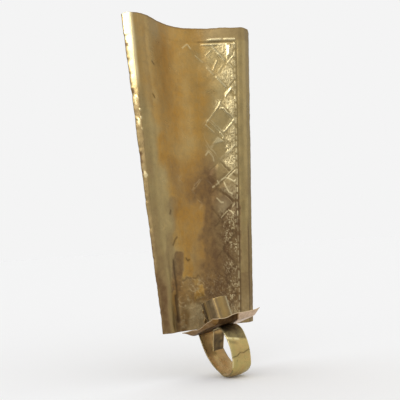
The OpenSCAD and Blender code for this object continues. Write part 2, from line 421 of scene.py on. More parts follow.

# Single strokes of the chasing tool: height, then drawn corners as shares and heights
STROKES = [
    (0.5, ((0.05, 265), (0.15, 269), (0.21, 264.5))),
    (0.9, ((0.59, 268), (0.7, 259.5), (0.79, 252.5))),
    (0.35, ((0.48, 258), (0.57, 262.5))),
    (0.35, ((0.29, 257.5), (0.42, 251))),
    (0.6, ((0.86, 250), (0.93, 245))),
    (0.35, ((0.58, 242.5), (0.66, 252.5))),
    (0.4, ((0.48, 245), (0.59, 239))),
    (0.8, ((0.64, 236.5), (0.71, 231.5), (0.8, 226.5))),
    (0.45, ((0.4, 192.5), (0.49, 197), (0.64, 207), (0.69, 212))),
    (0.9, ((0.68, 205.5), (0.75, 205), (0.79, 201.5), (0.87, 199), (0.9, 196.5))),
    (0.4, ((0.37, 189), (0.51, 182))),
    (1.1, ((0.72, 182), (0.86, 189), (0.95, 194.5))),
    (0.8, ((0.64, 181), (0.7, 177.5), (0.7, 175.5))),
    (0.35, ((0.31, 160), (0.38, 163.5), (0.46, 158), (0.47, 154))),
    (1.0, ((0.62, 136), (0.7, 138), (0.77, 137), (0.89, 134), (0.94, 135.5), (0.97, 139))),
    (0.45, ((0.62, 136), (0.51, 132), (0.4, 129))),
    (0.6, ((0.52, 135), (0.56, 132))),
    (0.6, ((0.67, 134.5), (0.71, 128.5), (0.76, 124), (0.83, 122))),
    (0.45, ((0.46, 118), (0.55, 114), (0.6, 114))),
    (0.7, ((0.71, 106), (0.64, 103.5), (0.55, 100))),
    (0.6, ((0.74, 107), (0.8, 105.5), (0.84, 103))),
    (0.4, ((0.64, 96), (0.6, 92))),
]
STROKE_W = 0.65

# Deep scratches in the same form
SCRATCHES = [
    (1.0, ((-0.9, 243.5), (-0.85, 241))),
    (1.0, ((-0.98, 213), (-0.94, 210))),
    (1.0, ((-0.84, 108.5), (-0.87, 105))),
    (1.0, ((-0.74, 84), (-0.8, 82), (-0.88, 77))),
    (1.0, ((-0.54, 64.5), (-0.5, 62), (-0.45, 63))),
]
SCRATCH_W = 0.8


def plate_columns():
    """Panel, margin and flange shares of each column from the left edge to the right, and its side."""
    flange = np.linspace(1, 0, FLANGE_COLS + 1)[:-1]
    margin = np.linspace(1, 0, MARGIN_COLS + 1)[:-1]
    panel = np.concatenate([np.linspace(-1, 0, LEFT_COLS + 1)[:-1], np.linspace(0, 1, RIGHT_COLS + 1)])
    beside = np.ones(FLANGE_COLS + MARGIN_COLS)
    s = np.concatenate([-beside, panel, beside])
    m = np.concatenate([0 * flange + 1, margin, 0 * panel, margin[::-1], 0 * flange + 1])
    f = np.concatenate([flange, 0 * margin, 0 * panel, 0 * margin, flange[::-1]])
    return s, m, f, np.sign(s)


def plate_front(s, m, f, side, z):
    """Front of the plate: the panel dips by 0.6(1 - s^2) + 0.4cos^2(90 s) of the hollow, the margins
    swell as a half sine, the left one softer and pressed flatter above its foot, and the flanges run back.
    Folds and the left corner are rounded: the way past them gives way to the square root of the sum
    of squares of the way and a radius."""
    half = (PLATE_FOOT_W + (PLATE_TOP_W - PLATE_FOOT_W) * z / PLATE_H) / 2
    flange_w = FLANGE_FOOT_W + (FLANGE_TOP_W - FLANGE_FOOT_W) * z / PLATE_H
    hollow = HOLLOW * np.maximum(0, z - FLAT_H) / (PLATE_H - FLAT_H)
    dip = 0.6 * (1 - s * s) + 0.4 * np.cos(np.pi / 2 * s) ** 2
    x = s * (half - MARGIN_W) + side * (m * MARGIN_W + f * flange_w * np.cos(FLANGE_ANGLE))
    arch = np.sin(np.pi * m)
    pressed = 1 - 0.6 * rise(z, 40, 60)
    swell = MARGIN_SWELL * np.where(side < 0, pressed * arch ** 1.7, arch)
    back = np.hypot(f * flange_w, FOLD_R) - FOLD_R
    way = np.where(m > 0, -m * MARGIN_W, (s + 1) * (half - MARGIN_W))
    eased = ((np.hypot(way, CORNER_R) + way) / 2 - np.maximum(way, 0)) * CORNER_EASE / (half - MARGIN_W)
    y = hollow * (dip + eased * (side < 0)) - swell + back * np.sin(FLANGE_ANGLE)
    return np.stack([x, y, z + 0 * x], -1)


def panel_reach(z):
    """Half width of the panel along its curve, near enough: it grows up the plate."""
    return PANEL_FOOT_HALF + PANEL_GROWTH * z / PLATE_H


def strap_net(s, u_half, z):
    """Net of lozenges from two sets of slanting straps, steeper higher up: the way over the nearest
    falling and rising one, the share across the lozenge towards its upper left side, the distance and
    direction from its middle, and which upright row of lozenges it is in."""
    steep = NET_STEEP_LOW + (NET_STEEP_HIGH - NET_STEEP_LOW) * rise(z, 140, 50)
    lean = steep * (s - NET_SHARE)
    a = np.interp(z + lean, FALLING_Z, np.arange(len(FALLING_Z)) - FALLING_MEETS)
    b = np.interp(z - lean, RISING_Z, np.arange(len(RISING_Z)) - RISING_MEETS)
    slant = np.hypot(1 / NET_UP, steep / NET_UP / u_half)
    falling, rising = (a - np.round(a)) / slant, (b - np.round(b)) / slant
    in_a, in_b = a - np.floor(a) - 0.5, b - np.floor(b) - 0.5
    right, up = (in_a - in_b) / 2 * NET_UP * u_half / steep, (in_a + in_b) / 2 * NET_UP
    return falling, rising, in_b, np.hypot(right, up), np.arctan2(up, right), np.floor(a) - np.floor(b)


def facet_heights(across, z):
    """Heights of the plain facets: tilted planes inside their corners, with short steep sides."""
    total = 0 * across
    for corners, height, right, up in FACETS:
        places = np.array([(share * panel_reach(at), at) for share, at in corners])
        ways = np.roll(places, -1, axis=0) - places
        ways /= np.linalg.norm(ways, axis=1, keepdims=True)
        inside = np.min([way[0] * (z - at[1]) - way[1] * (across - at[0])
                         for at, way in zip(places, ways)], axis=0)
        middle = places.mean(axis=0)
        plane = height + right * (across - middle[0]) + up * (z - middle[1])
        total = total + plane * rise(inside, -0.3, 0.9)
    return total


def stroke_heights(across, z, strokes, width):
    """Heights of drawn strokes: bell curves about their lines, the highest where they meet."""
    total = 0 * across
    for height, corners in strokes:
        places = [(share * panel_reach(at), at) for share, at in corners]
        total = np.maximum(total, height * bell(path_distance(across, z, places), width))
    return total


def curl_ring(u, z, cell, seed):
    """Open rings strewn one to a cell: a bell curve about a radius, cut away on one side."""
    dx, dy, number = nearest_punch(u, z, cell, seed)
    swing = np.cos(np.arctan2(dy, dx) - 2 * np.pi * number)
    ring = bell(np.hypot(dx, dy) - cell * (0.17 + 0.27 * number), 0.45) * rise(swing, -0.35, 0.5)
    return ring * (0.35 + 0.65 * np.sin(23 * number) ** 2)


def chased_pattern(s, u, u_half, z):
    """Heights of the hammered panel: the fine work, which is punched ground, curls, a rosette in each
    lozenge, scribed lines, single strokes, tilted bars on the rising straps and a few facets; the raised
    lozenges under it, which turn to smooth leaves lower down; and where they are worn by rubbing and
    painted paler as the sheen of punched ground."""
    wander = patch_noise(u, z, 13, 11)
    falling, rising, corner, reach, swing, row = strap_net(s + 0.012 * wander, u_half, z + 0.9 * wander)
    jag = 0.7 * patch_noise(u, z, 4.5, 13) + 0.4 * patch_noise(u, z, 2, 14)
    d = np.minimum(np.abs(falling), np.abs(rising)) + jag
    patchy = 0.25 + 0.75 * rise(patch_noise(u, z, 9, 23), -0.4, 0.6)
    torn = rise(patch_noise(u, z, 11, 24), -0.3, 0.5)
    foot, big = fall(z, FOOT_TOP, 16), fall(z, CURL_TOP, 8)
    low, short = fall(z, LEAF_TOP, 10), fall(z, 128, 4)

    # Lozenges and leaves, and the ground that is filled with fine work
    leafy = fall(z, LEAF_TOP, 8) * (row >= -1) * rise(s, 0.3, 0.12)
    lozenge = rise(d, STRAP_HALF - 0.3, 1.7) * (row >= 0)
    lozenge = lozenge * (1 - 0.6 * rise(corner, 0.05, 0.4) * (row == 0))
    raised = lozenge * (0.6 + 0.4 * patch_noise(u, z, 9, 12)) * (1 - leafy)
    raised = (raised + 2.4 * leafy * rise(d, -0.5, 8)) * rise(z, 88, 16)
    fill = most(lozenge * (1 - 0.85 * leafy), 0.8 * foot * rise(s, 0.42, 0.16),
                0.9 * big * (1 - fall(z, 150, 6)) * rise(s, 0.7, 0.06))

    # Punched ground, curls and rosettes
    dx, dy, number = nearest_punch(u, z, 1.6, 21)
    punched = -bell(np.hypot(dx, dy), 0.35 + 0.3 * number) * (0.4 + 0.8 * number)
    small = curl_ring(u + wander, z - 1.5 * wander, 3.0, 22)
    large = curl_ring(u + wander, z - 1.5 * wander, 4.6, 25)
    curls = 0.95 * small * (1 - big) + 1.2 * large * big * (1 - foot)
    curls = curls + (0.5 + 0.45 * rise(s, 0.55, 0.12)) * foot * np.maximum(small, 0.7 * large)
    petals = 0.5 + 0.5 * np.cos(5 * swing + 2 * row)
    rosette = (petals * bell(reach - 4, 2.4) + bell(reach, 1.3)) * (row == 0) * rise(z, 180, 4)
    centre = 0.34 * fall(z, 56, 16) * rise(s, -0.75, 0.3)
    fine = 0.6 * punched * np.maximum(fill * (1 - 0.5 * foot), centre)
    fine = fine + curls * np.maximum(fill * patchy, centre) + 0.5 * rosette * fill * patchy

    # Scribed lines, lines along the straps and single strokes
    scribed = bell(d - STRAP_HALF, 0.5) * (row < 0) * torn * rise(z, 104, 12) * rise(s, -0.55, 0.1)
    faint = np.maximum(0.3 * rise(s, 0.25, 0.2), 0.14 * fall(z, 150, 15))
    double = bell(np.abs(falling) - 1, 0.45) * rise(s, 0.57, 0.1) * fall(s, 0.82, 0.03)
    single = 0.6 * bell(rising, 0.6) * rise(s, 0.42, 0.06) * fall(s, 0.74, 0.04)
    lines = np.maximum(double * (0.5 + 0.5 * torn), single * (0.2 + 0.8 * torn)) * rise(z, 146, 10)
    twin = bell(np.abs(rising) - 1.2, 0.5) * rise(s, 0.62, 0.1) * fall(s, 0.98, 0.02)
    twin = twin * low * (1 - short) * (0.35 + 0.65 * torn)
    across = s * panel_reach(z)
    strokes = stroke_heights(across + 0.5 * wander, z + 0.4 * wander, STROKES, STROKE_W)
    strokes = strokes * (0.75 + 0.25 * torn)
    fine = fine + faint * scribed + 0.35 * lines + 1.1 * np.maximum(twin, strokes)
    fine = fine - 0.3 * leafy * bell(d, 1.3)

    # Tilted bars and plain facets, which the fine work leaves free
    bar_start = 0.76 - 0.12 * low + 0.17 * short + 0.06 * rise(z, 230, 8)
    bars = np.clip((2.0 - rising) / 3.6, 0, 1) * fall(rising, 2, 0.4) * rise(rising, -1.6, 0.5)
    bars = bars * rise(s, bar_start, 0.04) * fall(s, 0.98 - 0.06 * short, 0.02)
    bars = bars * rise(z, 98, 6) * (1 - low * (0.9 - 0.5 * short))
    facets = facet_heights(across + 0.6 * wander, z) + 1.2 * bars * (0.55 + 0.45 * torn)
    fine = fine * (1 - np.clip(np.abs(facets), 0, 1)) + facets

    # High places worn by rubbing, and painted paler as the sheen of their punched ground
    light = np.clip(0.85 + 0.95 * punched + 0.5 * curls, 0.05, 1) * (1 - 0.3 * rise(s, 0.86, 0.1))
    light = light * (0.3 + 0.7 * rise(s, 0.56, 0.14)) * (0.5 + 0.5 * patchy)
    rubbed_and_sheen = np.maximum(lozenge, 0.35 * fill) * (1 - foot) * (1 - 0.7 * fall(z, 142, 8))
    worn = 0.24 * bell(np.hypot((s - 0.66) * u_half, z - 110), 8) * rise(d, 0.5, 2)
    return fine, raised, np.maximum(rubbed_and_sheen * light, worn)


def loose_scale(u, z):
    """Small flakes of loose scale, from 0 to 1."""
    return smooth((patch_noise(u, z, 3.4, 43) + 0.6 * patch_noise(u, z, 1.7, 44)) / 0.5)


def plate_relief(s, m, f, side, u, u_half, z):
    """Height of the front over its plain form, the chased part of it, and where that is worn bright by
    rubbing and painted paler as sheen. To the pattern come a row of beads at its right, two ridges and a
    furrow along its top, two gouges at its lower left, ticks on the flanges, dents all over and scale at the
    foot."""
    inner = u_half - np.abs(u)
    panel = (m <= 0) * (z < PATTERN_TOP)
    field = rise(inner, 2.4, 1) * fall(z, PATTERN_TOP - 1, 1.4) * panel
    fine, raised, rubbed_and_sheen = chased_pattern(s, u, u_half, z)
    slide = z + 3.5 * patch_noise(z, 0 * z + side, 13, 32)
    dash = rise(np.abs((slide / BEAD_PITCH) % 1 - 0.5), 0.1, 0.12)
    dash = dash * (0.6 + 0.4 * patch_noise(z, 0 * z, 8, 35))
    beads = bell(inner - 1.6 + 0.3 * patch_noise(z, 0 * z, 6, 36), 0.75) * dash * panel
    beads = beads * (0.22 + 0.18 * rise(z, 80, 40) + 0.18 * rise(z, 180, 30))
    beads = beads - 0.2 * bell(inner + 0.2, 0.7) * (z < PATTERN_TOP)
    ridge = bell(z - RIDGE_Z, 0.9) * rise(s, 0.5, 0.08) * (1 - 0.8 * bell(s - 0.78, 0.03))
    ridge = ridge + 0.6 * bell(z - LEDGE_Z, 0.7) * rise(s, 0.38, 0.08)
    furrow = 0.06 + 0.4 * rise(s, 0.25, 0.2) + 0.3 * bell(s - 0.62, 0.12)
    furrow = furrow * bell(z - PATTERN_TOP, 0.8)
    gouge = 1.5 * bell(u + u_half - 1.6, 1.4) * fall(z, 34, 3) * rise(z, 6, 4)
    gouge = gouge + 0.8 * bell(u + u_half - 3, 0.9) * fall(z, 66, 3) * rise(z, 30, 3)
    chased = 0.55 * fine * field + (s > 0) * beads
    chased = chased + (0.6 * ridge - 0.55 * furrow) * (inner > 0.6) - 0.55 * gouge
    hit = bell(z - 198, 16) + bell(z - 138, 8) + 0.2 * (z < 225)
    ticks = rise(patch_noise(z + 4 * f * side, 6 * f, 3.4, 34), 0.3, 0.4) * hit * (f > 0.12)
    dents = 0.28 * patch_noise(u, z, 24, 41) + 0.1 * patch_noise(u, z, 7, 42)
    dents = dents * (1 - 0.85 * smooth(f / 0.2) * rise(z, 210, 20))
    scale = 0.2 * loose_scale(u, z) * panel * fall(z, 64, 16)
    return chased + 0.5 * raised * field + 0.32 * ticks + scale + dents, chased, rubbed_and_sheen * field


def zone(n, z, across, up, soft):
    """Stain with four sides: a product of smoothsteps in from each side."""
    in_n = rise(n, across[0], soft[0]) * fall(n, across[1], soft[0])
    return in_n * rise(z, up[0], soft[1]) * fall(z, up[1], soft[1])


def plate_marks(chased, rubbed_and_sheen, u, u_half, z, f):
    """Ridge, groove, matte, warm and dark shares of each point of the plate, ridge and matte also as painted
    highlight and sheen. Stains and painted shade are products of smoothsteps in n, the share of the panel's
    half width, and in the height, both with ragged noise; where several meet, the strongest counts. The
    back has only warm and dark clouds, and a dark rim."""
    ragged = 0.6 * patch_noise(u, z, 9, 63) + 0.4 * patch_noise(u, z, 3.2, 64)
    n, high = u / u_half + 0.05 * ragged, z + 3 * ragged
    wide = n + 0.14 * patch_noise(u, z, 16, 65)
    past = np.abs(u) - u_half - MARGIN_W
    on_left = n < 0
    blotch = patch_noise(u, z, 21, 61) + 0.5 * patch_noise(u, 0.5 * z, 8, 62)
    streaky = patch_noise(u, 0.5 * z, 9, 70)
    edge = 0.1 * patch_noise(u, z, 12, 66) + 0.05 * patch_noise(u, z, 4, 67)
    left = n + 1.12 + 0.16 * patch_noise(u, z, 20, 60) + 0.24 * rise(z, 170, 50)
    left = left - 0.2 * fall(z, 140, 30) * rise(z, 40, 20)

    # Orange: clouds, the streak down the middle, a flake and a chip under it, and the dusty foot
    broad = rise(z, 66, 26)
    streak_n = n + 0.13 + 0.0053 * (118 - z)
    streak_half = 0.26 + 0.13 * broad
    streak_soft = 0.06 + 0.06 * broad + 0.14 * bell(z - 72, 14)
    streak = 0.95 * smooth((streak_half - 0.1 * fall(z, 96, 26) - streak_n) / streak_soft)
    streak = streak * smooth((streak_n + streak_half) / (0.08 + 0.26 * broad))
    streak = streak * rise(high, STREAK_FOOT, 1.5) * fall(z, 165, 55)
    flake = zone(n, high, (-0.42, -0.12), (27, 41), (0.03, 1.5)) * (n + 0.42 > 0.026 * (z - 28) - 0.1)
    chip = zone(n, high, (-0.39, -0.23), (39, 47), (0.03, 1.2))
    dusty = zone(n + 0.8 * edge, high, (-0.74, 0.04), (-9, 26), (0.14, 8))
    clouds = 0.76 + (0.34 - 0.16 * rise(z, 150, 40)) * blotch + 0.08 * streaky
    clouds = clouds * fall(wide, 0.66, 0.4) * smooth(left / 0.24)
    clouds = clouds * (1 - 0.3 * rise(z, 190, 20) * fall(n, -0.45, 0.2))
    foot = (0.6 + 0.35 * dusty) * fall(z, 40, 14) * rise(n, -0.88, 0.08) * (n < 1)
    warm = most(clouds, streak, flake, foot)

    # Brown under the streak: clouds, the foot, a patch beside the gouge, and the left margin, whose outer
    # part is partly tarnish and partly painted shade
    deep = 126 + 30 * smooth((n - 0.25 + edge) / 0.25)
    shade = smooth((deep - high) / 40) * smooth((n + 1.6 * edge) / 0.34) * fall(n, 1.06, 0.06)
    clouds = 0.1 * smooth(left / 0.3) * smooth((blotch - 0.4 * streaky) / 0.9) * (z > 150)
    runs = 0.5 * fall(z, 150, 30) * rise(patch_noise(u, 0.5 * z, 8, 68), -0.3, 0.8)
    foot = fall(high, 49, 2) * rise(n, -1.04, 0.05) * (0.72 - 0.12 * dusty + 0.12 * blotch)
    slanted = n + 0.0073 * (69 - z) + 0.1 * edge
    patch = 0.9 * zone(slanted, high + 6 * edge, (-0.9, -0.55), (34, 70.5), (0.035, 1.5))
    lower = fall(z, 90, 60)
    # painted shade, partly tarnish: the left margin darkened towards its outer bend, more so lower down
    margin = 0.1 + (0.45 + 0.35 * lower) * rise(past, -8.5, 6) * fall(z, 190, 30)
    margin = margin * (n < -1) * (z < 200) * (0.8 + 0.6 * blotch)
    dark = most(shade, clouds, runs, foot, patch, margin) * (1 - 0.5 * streak)

    # Brown over the streak: darker on the lower panel, fading out upwards, less on the flake, the chip and
    # beside the streak
    low_brown = smooth((172 + 9 * smooth(n / 0.25) - high + 30 * edge) / 48)
    low_brown = low_brown * rise(n, -0.85, 0.95) * fall(n, 1.06, 0.06) * (1 - 0.6 * dusty)
    low_brown = low_brown * (1 - 0.4 * rise(n, 0.45, 0.15) * rise(z, 100, 8))
    low_brown = 0.95 * low_brown * (1 - 0.6 * streak * fall(high, 122, 16))
    dark = most(dark, low_brown, 0.5 * zone(wide, high, (-0.95, -0.15), (108, 164), (0.25, 18)))
    dark = dark * (1 - 0.85 * flake) * (1 - 0.5 * chip)
    dark = dark * (1 - 0.4 * zone(n, high, (-0.28, 0.06), (56, 84), (0.1, 7)))

    # Left flange: raw outer edge, dots, a painted highlight above and on bruises,
    # and between them dull brown, partly tarnish and partly painted shade
    raw = smooth((f - 0.76 + 0.1 * patch_noise(z, 0 * z, 7, 69)) / 0.12) * on_left
    dots = rise(patch_noise(z, 9 * f, 4.2, 37), 0.3, 0.2) * rise(f, 0.6, 0.2) * on_left
    fleck = rise(patch_noise(z - 4 * f, 6 * f, 3.4, 34), 0.1, 0.4) * (f > 0.1)
    fleck = fleck * (bell(z - 189, 8) + bell(z - 138, 6) + bell(z - 207, 6))
    # painted shade, partly tarnish: the flange below its top is darkened to dull brown
    dull = (0.55 + 0.3 * lower) * fall(z, 216, 8) * smooth(f / 0.15) * on_left * (1 - fleck)
    # painted highlight: the flange's top and its bruises go to the bright tint, as the white reflection of
    # the light
    painted_glint = rise(past, -2.4, 2.8) * on_left * (1 - raw) * (1 - dots)
    painted_glint = painted_glint * np.maximum(rise(z, 214, 20), 0.9 * fleck)

    # Brown edges: top band, a painted shadow along the top edge, crease of the right margin, foot of the
    # left margin and its gouge
    band = 0.5 * rise(z, 271, 3) * rise(n, 0.1, 0.4) + 0.25 * (n < -1) * (z >= 200) * (f < 0.05)
    # painted shadow: a dark line along the front's top edge
    top_edge = 0.75 * rise(z, 283.4, 0.8) * (f < 0.1)
    creased = fall(z, 104, 20) * (n > 1)
    crease = (0.45 + 0.55 * bell(past + 4, 1.2) - 0.2 * bell(past + 8, 2.5)) * creased
    corner = rise(past, -7, 5) * on_left * fall(z, 50, 25) * (0.8 + 0.4 * ragged)
    gouged = 0.95 * zone(n, high, (-1.12, -0.84), (-9, 18), (0.05, 5))
    raw_edge = 0.45 * raw * (0.8 + 0.5 * ragged)
    dark = most(dark, band, top_edge, crease, corner, gouged, raw_edge, dots, dull)

    # Dust and peeling lines at the foot, and scratches
    dust = fall(high, 34, 24) * rise(n, -0.96, 0.06) * (0.06 + 0.12 * loose_scale(u, z)) + 0.4 * dusty
    peel = bell(patch_noise(u, z, 6, 43) + 0.5 * patch_noise(u, z, 2.4, 44), 0.08)
    peel = peel * rise(ragged, -0.2, 0.4) * fall(high, 48, 3) * rise(n, -0.94, 0.04) * fall(n, 0.3, 0.3)
    scratch = stroke_heights(u / u_half * panel_reach(z), z, SCRATCHES, SCRATCH_W)
    under = 0.5 * bell(high - 47, 0.7) * zone(n, z, (-0.72, -0.2), (40, 54), (0.03, 1))
    scratch = np.maximum(scratch, under) + 0.5 * creased * bell(past + 4, 0.8)

    bright = 1 - 0.5 * fall(z, 108, 14) * rise(z, 44, 14) * (1 - 0.6 * rise(n, 0.56, 0.1))
    back_u, back_z = u[::BACK_STEP, ::BACK_STEP], z[::BACK_STEP, ::BACK_STEP]
    worn = patch_noise(back_u, back_z, 26, 46) + 0.6 * patch_noise(back_u, 0.4 * back_z, 9, 47)
    soot = patch_noise(back_u, 0.7 * back_z, 34, 48) + 0.5 * patch_noise(back_u, back_z, 11, 49)
    plain, rim = 0 * back_u, np.ones(len(border(*z.shape)))
    return {
        # ridge: painted highlight, partly wear: high places of the chasing and the flange's glint go to the
        # bright tint, dimmed low on the panel
        "ridge": sheet_mark(chased / 0.4 * bright + 0.7 * painted_glint, plain, 0 * rim),
        "groove_and_shade": sheet_mark(scratch - chased / 0.35 * (1 - 0.5 * rubbed_and_sheen), plain, 0 * rim),
        # rougher and mixed to the bright tint: dust, peeling and wear from rubbing, painted sheen on the
        # lozenges and the flange's painted highlight
        "matte": sheet_mark(rubbed_and_sheen + dust + 0.3 * peel + 0.7 * painted_glint, plain, 0 * rim),
        "warm": sheet_mark(warm, 0.45 + 0.45 * worn, 0.5 * rim),
        "dark": sheet_mark(dark, 0.42 + 0.4 * soot, rim),
    }


def back_plate():
    """Front and back of the plate as grids, with the relief along the front's normals, a wavy top with
    lowered corners and nicked edges; and the marks."""
    s, m, f, side = (v[None, :] for v in plate_columns())
    z = np.linspace(0, PLATE_H, PLATE_ROWS)[:, None] + 0 * s
    front = plate_front(s, m, f, side, z)
    step = np.linalg.norm(np.diff(front, axis=1), axis=2)
    u = np.concatenate([0 * z[:, :1], np.cumsum(step, axis=1)], axis=1)
    middle = FLANGE_COLS + MARGIN_COLS + LEFT_COLS
    u = u - u[:, middle, None]
    u_half = u[:, middle + RIGHT_COLS, None]
    relief, chased, rubbed_and_sheen = plate_relief(s, m, f, side, u, u_half, z)
    normal = np.cross(np.gradient(front, axis=1), np.gradient(front, axis=0))
    normal /= np.linalg.norm(normal, axis=2, keepdims=True)
    ends = smooth(z / 2) * fall(z, PLATE_H, 2)
    front = front + normal * (relief * (0.35 + 0.65 * ends))[..., None]
    edge_wave = 0.35 * patch_noise(u, 0 * u, 9, 51) + 0.15 * patch_noise(u, 0 * u, 3, 52)
    corner = 2.2 * smooth((np.abs(u) - u_half - MARGIN_W - 1) / 9) ** 2
    front[..., 2] += (edge_wave - corner) * rise(z, 255, 30)
    nicks = 0.4 * patch_noise(z, 5 * side, 3.1, 31) + 0.35 * patch_noise(z, 5 * side, 11, 33)
    front[..., 0] += side * nicks * rise(f, 0.3, 0.7) * np.where(side < 0, 1, 0.35)
    back = front[::BACK_STEP, ::BACK_STEP] + np.array([0, PLATE_T, 0])
    marks = plate_marks(chased, rubbed_and_sheen, u, u_half, z, f + 0 * u)
    return sheet(to_row(front), to_row(back), PLATE_EDGE_R), marks


# Scroll arm

# Crack across the front of the strip: places across it and along it
CRACK = ((-10.3, 101.0), (-5.0, 101.4), (-1.5, 103.4), (2.5, 102.6), (10.3, 104.6))


def strip_line():
    """Centre line of the strip as forward, up, heading, taper and length: a walk along the chords of
    its legs."""
    size, turn, count, share = np.array(STRIP_LEGS).T
    swing = np.radians(turn) / count
    chord = np.where(turn == 0, size / count, 2 * size * np.sin(swing / 2))
    steps, turns, taper = (np.repeat(v, count.astype(int)) for v in (chord, swing, share / count))
    heading = running(turns) - np.pi / 2
    middle = (heading[1:] + heading[:-1]) / 2
    forward = -PLATE_T - STRIP_T / 2 + running(steps * np.cos(middle))
    return forward, STRIP_TOP + running(steps * np.sin(middle)), heading, running(taper), running(steps)


def scroll_arm():
    """A flat loop of points, rounded at its edges, carried along the strip's centre line, slightly
    crowned and bruised; and its marks: a crack and a pit, a crease with a painted highlight, painted shade
    on the top under the tray and on the end, and a painted highlight inside the bottom of the loop."""
    forward, up, heading, taper, length = (v[:, None] for v in strip_line())
    half = (STRIP_W + (STRIP_END_W - STRIP_W) * taper) / 2
    half = half + 0.18 * patch_noise(length, 0 * length, 11, 71)
    across, over, depth = strip_section(27, 5)
    x = across * (half - STRIP_EDGE_R) + over * STRIP_EDGE_R
    along = length + 0 * x
    outside = smooth(-depth / 0.5) * (along > 60)
    pit = np.hypot(x + 5.5, along - 97.4)
    stain = (bell(path_distance(x, along, CRACK), 0.5) + bell(pit, 0.55)) * outside
    level = along + 0.3 * (x + 6.5)
    crease = bell(level - 116.9, 1) * fall(x, 3, 3) * (1 - bell(x + 4.2, 1)) * outside
    bruise = 0.14 * patch_noise(x, along, 6, 72) + 0.2 * patch_noise(x, along, 17, 73)
    crown = (0.25 + 1.1 * bell(along - 83, 13)) * (1 - across ** 2)
    thick = depth * STRIP_T / 2 - (crown + bruise) * (along > 30) + 0.12 * stain - 0.35 * crease
    loops = np.stack([x, thick * np.sin(heading) - forward, thick * np.cos(heading) + up], -1)

    rim = np.clip((np.abs(across + 0 * x) - 0.93) / 0.05, 0, 1)
    inner = rise(depth + 0 * x, 0.1, 0.3)
    # painted shade: the top of the strip under the tray darkened from the crease on, and a band beside the
    # crease
    shade = 0.85 * rise(level, 117.2, 1.4) + 0.15 * rise(level, 121, 7)
    shade = np.maximum(shade, 0.5 * bell(level - 113.6, 1.6) * fall(x, 1, 5) * outside)
    shade = shade * fall(along, 147, 6) * (1 - 0.15 * rise(x, 1, 6))
    # painted shade: the inner end, which hangs under the tray, darkened
    end = rise(along, 146, 4)
    blotch = patch_noise(x, along, 8, 74) + 0.5 * patch_noise(x, along, 3, 75)
    # painted highlight: the inner faces at the bottom of the loop are made lighter and less dark
    low = bell(along - 67, 16)
    dark = most(shade, 0.6 * rim * (along < 90), 0.85 * end * (1 - 0.7 * rim))
    marks = {
        # ridge: bright edges of the front strand, and painted highlights on the crease and the loop's inner
        # bottom
        "ridge": most(0.7 * rim * (along > 92) * (1 - 0.5 * end), 0.9 * crease, 0.3 * low * inner),
        "groove_and_shade": stain,
        "warm": np.clip(0.15 + 0.7 * inner + 0.3 * blotch, 0, 1),
        "dark": np.clip(dark + (0.2 + 0.35 * blotch) * inner * (1 - low), 0, 1),
    }
    return swept(at_arm(loops)), {key: value.reshape(-1) for key, value in marks.items()}


# Drip tray and candle cup


def lip_rise(d, reach):
    """Rise of the turned-up lip: the square of the share of the lip's width."""
    return np.maximum(0, (np.abs(d) - reach + LIP_W) / LIP_W) ** 2


def drip_tray():
    """Square tray with lips that rise as a square law, their height wavering along the edges; and its
    marks: brown below, darkest in a band of painted shade from the left to the middle, and pale to the right
    as a painted reflection of the floor, weaker above, with a bright rim."""
    shares = np.sin(np.linspace(-np.pi / 2, np.pi / 2, 91))
    middle, reach = (TRAY_BACK - TRAY_FRONT) / 2, (TRAY_BACK + TRAY_FRONT) / 2
    x, y = np.meshgrid(shares * TRAY_HALF, middle + shares * reach)
    a, b = lip_rise(x, TRAY_HALF), lip_rise(y, np.where(y < 0, TRAY_FRONT, TRAY_BACK))
    left = np.where(x < 0, 1 - 0.5 * bell(y + 2, 9) + 0.08 * bell(y - 20, 5), 1.0)
    front = np.where(y < 0, 1 - 0.2 * bell(x + 13, 6) + 0.18 * bell(x, 7), 1.0)
    height = RIM_H * (a * left + b * front - a * b) + CORNER_LIFT * a * b
    height = height + 0.14 * patch_noise(x, y, 7, 81) * (y < 8)
    pull = np.where(y > 0, CORNER_PULL, 0.0) * np.sign(x) * a * b
    wave = 0.35 * patch_noise(x, y, 9, 82) * np.maximum(a, b) * (y < 8)
    under = np.stack([x + pull + wave * np.sign(x) * (a > b), y - wave * (b > a), height], -1)

    blotch = patch_noise(x, y, 7, 83)
    bend = x + 1.2 * patch_noise(x, y, 5, 84)
    # painted reflection: the right part paled to the pinkish tint
    pale = rise(bend, 1, 2) * (0.8 + 0.2 * blotch)
    # painted shade: a band from the left lip to the middle darkened
    dark = 0.2 + 0.25 * blotch + rise(bend, -22.5, 2) * fall(bend, 2, 2) - pale
    rim = np.ones(len(border(*x.shape)))
    marks = {key: sheet_mark(value, 0.35 * np.clip(value, 0, 1), on_rim * rim)
             for key, value, on_rim in (("ridge", 0 * x, 1.0), ("warm", pale, 0.2), ("dark", dark, 0.1))}
    return sheet(at_seat(under), at_seat(under + np.array([0, 0, TRAY_T])), TRAY_EDGE_R), marks


